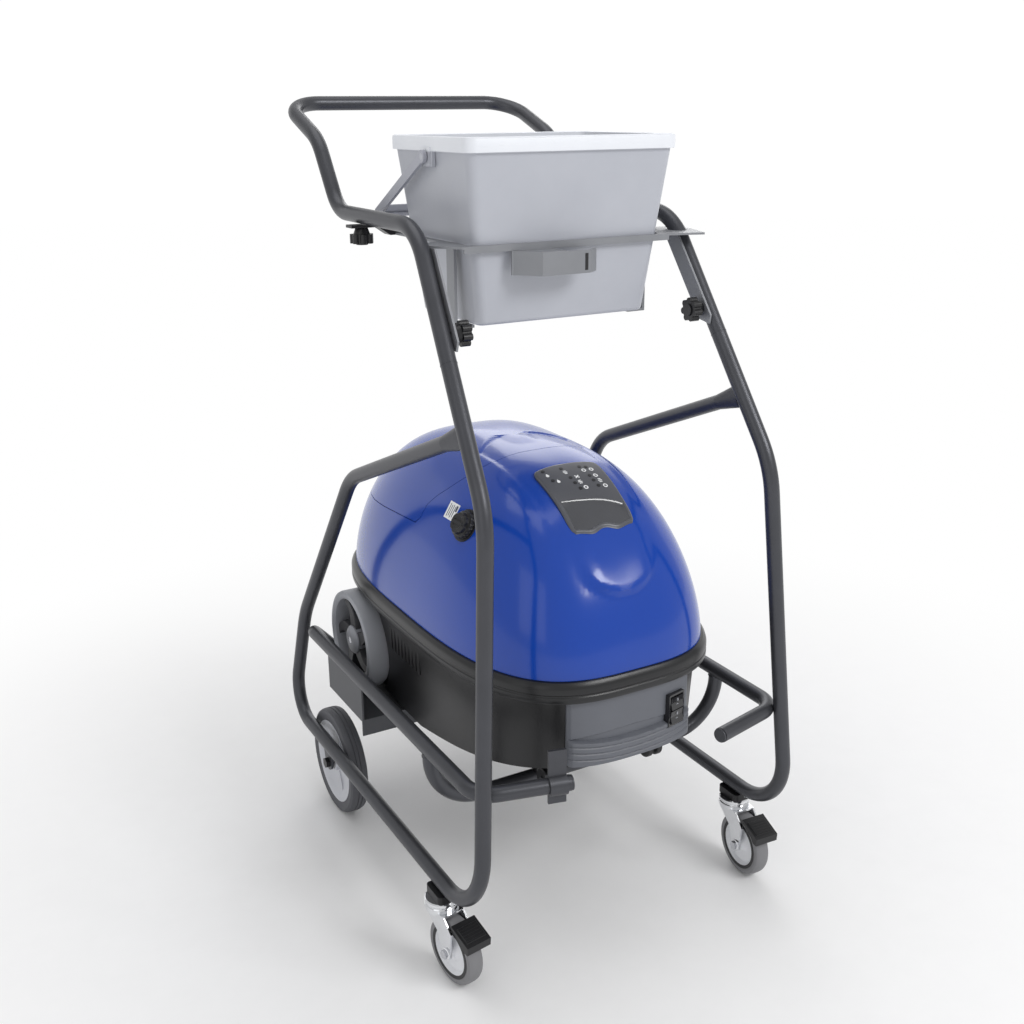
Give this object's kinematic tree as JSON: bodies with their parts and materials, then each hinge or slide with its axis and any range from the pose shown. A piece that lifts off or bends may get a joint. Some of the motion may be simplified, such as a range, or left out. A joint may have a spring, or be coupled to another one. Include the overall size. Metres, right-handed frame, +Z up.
{
  "type": "steam cleaner",
  "caption": "Commercial steam cleaner on a tube trolley: domed machine with lid, wheels and hose socket, push handle, tray with lift-out bucket, braked swivel casters.",
  "frame": {"origin": "centre of the footprint box, on the floor under the wheels", "axes": "+Z up; +Y towards the push handle, the rear; the control panel, switch and braked casters face -Y; +X across the trolley"},
  "size_m": [0.5734, 0.7637, 1.191],
  "materials": {
    "frame_grey": "satin powder coat",
    "sheet_grey": "satin powder coat",
    "zinc_steel": "zinc plated",
    "chrome": "polished",
    "black_steel": "satin black",
    "black_plastic": "matte",
    "bucket_plastic": "satin",
    "tyre_rubber": "matte",
    "caster_rubber": "matte",
    "rim_plastic": "satin",
    "shell_blue": "gloss",
    "housing_black": "satin",
    "grey_plastic": "satin",
    "switch_black": "gloss",
    "boiler_steel": "satin",
    "tank_plastic": "translucent look",
    "pump_brass": "satin",
    "board_green": "solder mask"
  },
  "bodies": {
    "trolley": {"side_frame_left": "frame_grey", "side_frame_right": "frame_grey", "base_tube": "frame_grey", "front_cross_tube": "frame_grey", "rear_shelf": "sheet_grey", "stub_end_plugs": "black_plastic", "handle_tube": "frame_grey", "handle_spigots": "zinc_steel", "bucket_tray": "sheet_grey", "rear_cross_bar": "black_steel", "tool_holder": "sheet_grey", "wheel_brackets": "frame_grey", "rear_axle_bolts": "black_steel", "caster_mounts": "black_steel", "caster_heads": "chrome"},
    "nose_hook": {"nose_hook": "sheet_grey"},
    "clamp_knob_left": {"clamp_knob_left": "black_plastic"},
    "clamp_knob_right": {"clamp_knob_right": "black_plastic"},
    "bar_knob_left": {"bar_knob_left": "black_plastic"},
    "bar_knob_right": {"bar_knob_right": "black_plastic"},
    "bucket": {"bucket": "bucket_plastic"},
    "bucket_bail": {"bucket_bail": "bucket_plastic"},
    "rear_wheel_left": {"rear_tyre_left": "tyre_rubber", "rear_rim_left": "rim_plastic"},
    "rear_wheel_right": {"rear_tyre_right": "tyre_rubber", "rear_rim_right": "rim_plastic"},
    "machine": {"lower_housing": "housing_black", "bumper_ring": "housing_black", "dome_shell": "shell_blue", "front_panel": "grey_plastic", "switch_bezel": "black_plastic", "control_fascia": "grey_plastic", "machine_axle": "zinc_steel", "boiler": "boiler_steel", "heating_element": "boiler_steel", "water_tank": "tank_plastic", "pump": "pump_brass", "control_board": "board_green", "mains_gland": "black_plastic", "steam_socket": "black_plastic"},
    "rear_lid": {"rear_lid": "shell_blue"},
    "rocker_upper": {"rocker_upper": "switch_black"},
    "rocker_lower": {"rocker_lower": "switch_black"},
    "water_cap": {"water_cap": "black_plastic"},
    "machine_wheel_left": {"machine_wheel_left": "grey_plastic"},
    "machine_wheel_right": {"machine_wheel_right": "grey_plastic"},
    "nose_caster_left": {"nose_caster_fork_left": "grey_plastic"},
    "nose_caster_right": {"nose_caster_fork_right": "grey_plastic"},
    "nose_caster_wheels_left": {"nose_caster_wheels_left": "black_plastic"},
    "nose_caster_wheels_right": {"nose_caster_wheels_right": "black_plastic"},
    "caster_left": {"caster_fork_left": "chrome", "caster_axle_left": "zinc_steel"},
    "caster_wheel_left": {"caster_tyre_left": "caster_rubber", "caster_core_left": "rim_plastic"},
    "brake_pedal_left": {"brake_pedal_left": "black_plastic"},
    "caster_right": {"caster_fork_right": "chrome", "caster_axle_right": "zinc_steel"},
    "caster_wheel_right": {"caster_tyre_right": "caster_rubber", "caster_core_right": "rim_plastic"},
    "brake_pedal_right": {"brake_pedal_right": "black_plastic"}
  },
  "joints": [
    {"name": "caster_swivel_left", "type": "hinge", "parent": "trolley", "child": "caster_left", "pos_m": [-0.2627, -0.249, 0.11], "axis": [0, 0, 1], "continuous": true},
    {"name": "caster_wheel_left", "type": "hinge", "parent": "caster_left", "child": "caster_wheel_left", "pos_m": [-0.25725, -0.28155, 0.05], "axis": [0.9863, 0.165, 0], "continuous": true},
    {"name": "brake_pedal_left", "type": "hinge", "parent": "caster_left", "child": "brake_pedal_left", "pos_m": [-0.25494, -0.29535, 0.1035], "axis": [0.9863, 0.165, 0], "range_deg": [0, 6]},
    {"name": "caster_swivel_right", "type": "hinge", "parent": "trolley", "child": "caster_right", "pos_m": [0.2627, -0.249, 0.11], "axis": [0, 0, 1], "continuous": true},
    {"name": "caster_wheel_right", "type": "hinge", "parent": "caster_right", "child": "caster_wheel_right", "pos_m": [0.2608, -0.28195, 0.05], "axis": [0.9983, -0.0576, 0], "continuous": true},
    {"name": "brake_pedal_right", "type": "hinge", "parent": "caster_right", "child": "brake_pedal_right", "pos_m": [0.25999, -0.29592, 0.1035], "axis": [0.9983, -0.0576, 0], "range_deg": [0, 6]},
    {"name": "rear_wheel_left", "type": "hinge", "parent": "trolley", "child": "rear_wheel_left", "pos_m": [-0.2318, 0.217, 0.0925], "axis": [1, 0, 0], "continuous": true},
    {"name": "machine_wheel_left", "type": "hinge", "parent": "machine", "child": "machine_wheel_left", "pos_m": [-0.196, 0.186, 0.3285], "axis": [1, 0, 0], "continuous": true},
    {"name": "nose_caster_swivel_left", "type": "hinge", "parent": "machine", "child": "nose_caster_left", "pos_m": [-0.088, -0.246, 0.27], "axis": [0, 0, 1], "continuous": true},
    {"name": "nose_caster_wheels_left", "type": "hinge", "parent": "nose_caster_left", "child": "nose_caster_wheels_left", "pos_m": [-0.088, -0.253, 0.2615], "axis": [1, 0, 0], "continuous": true},
    {"name": "clamp_knob_left", "type": "hinge", "parent": "trolley", "child": "clamp_knob_left", "pos_m": [-0.1969, -0.1914, 0.8995], "axis": [1, 0, 0], "continuous": true},
    {"name": "bar_knob_left", "type": "hinge", "parent": "trolley", "child": "bar_knob_left", "pos_m": [-0.2028, 0.079, 1], "axis": [0, 0, 1], "continuous": true},
    {"name": "rear_wheel_right", "type": "hinge", "parent": "trolley", "child": "rear_wheel_right", "pos_m": [0.2318, 0.217, 0.0925], "axis": [1, 0, 0], "continuous": true},
    {"name": "machine_wheel_right", "type": "hinge", "parent": "machine", "child": "machine_wheel_right", "pos_m": [0.196, 0.186, 0.3285], "axis": [1, 0, 0], "continuous": true},
    {"name": "nose_caster_swivel_right", "type": "hinge", "parent": "machine", "child": "nose_caster_right", "pos_m": [0.088, -0.246, 0.27], "axis": [0, 0, 1], "continuous": true},
    {"name": "nose_caster_wheels_right", "type": "hinge", "parent": "nose_caster_right", "child": "nose_caster_wheels_right", "pos_m": [0.088, -0.253, 0.2615], "axis": [1, 0, 0], "continuous": true},
    {"name": "clamp_knob_right", "type": "hinge", "parent": "trolley", "child": "clamp_knob_right", "pos_m": [0.1969, -0.1914, 0.8995], "axis": [1, 0, 0], "continuous": true},
    {"name": "bar_knob_right", "type": "hinge", "parent": "trolley", "child": "bar_knob_right", "pos_m": [0.2028, 0.079, 1], "axis": [0, 0, 1], "continuous": true},
    {"name": "nose_hook_turn", "type": "hinge", "parent": "trolley", "child": "nose_hook", "pos_m": [-0.144, -0.36568, 0.324], "axis": [0.9724, -0.2334, 0], "range_deg": [0, 100]},
    {"name": "bucket_lift", "type": "slide", "parent": "trolley", "child": "bucket", "axis": [0, 0, 1], "range_m": [0, 0.3]},
    {"name": "bail_swing", "type": "hinge", "parent": "bucket", "child": "bucket_bail", "pos_m": [0.004, -0.052, 1.111], "axis": [1, 0, 0], "range_deg": [0, 235]},
    {"name": "machine_lift", "type": "slide", "parent": "trolley", "child": "machine", "axis": [0, 0, 1], "range_m": [0, 0.12]},
    {"name": "lid_hinge", "type": "hinge", "parent": "machine", "child": "rear_lid", "pos_m": [0, 0.3064, 0.5624], "axis": [1, 0, 0], "range_deg": [-25, 0]},
    {"name": "rocker_upper_tip", "type": "hinge", "parent": "machine", "child": "rocker_upper", "pos_m": [0.07, -0.334, 0.3768], "axis": [0.9703, 0.2419, 0], "range_deg": [-6, 0]},
    {"name": "rocker_lower_tip", "type": "hinge", "parent": "machine", "child": "rocker_lower", "pos_m": [0.07, -0.334, 0.3552], "axis": [0.9703, 0.2419, 0], "range_deg": [-6, 0]},
    {"name": "water_cap_turn", "type": "hinge", "parent": "machine", "child": "water_cap", "pos_m": [-0.148, -0.12, 0.6131], "axis": [-0.862, -0.0965, 0.4977], "range_deg": [0, 90]}
  ]
}
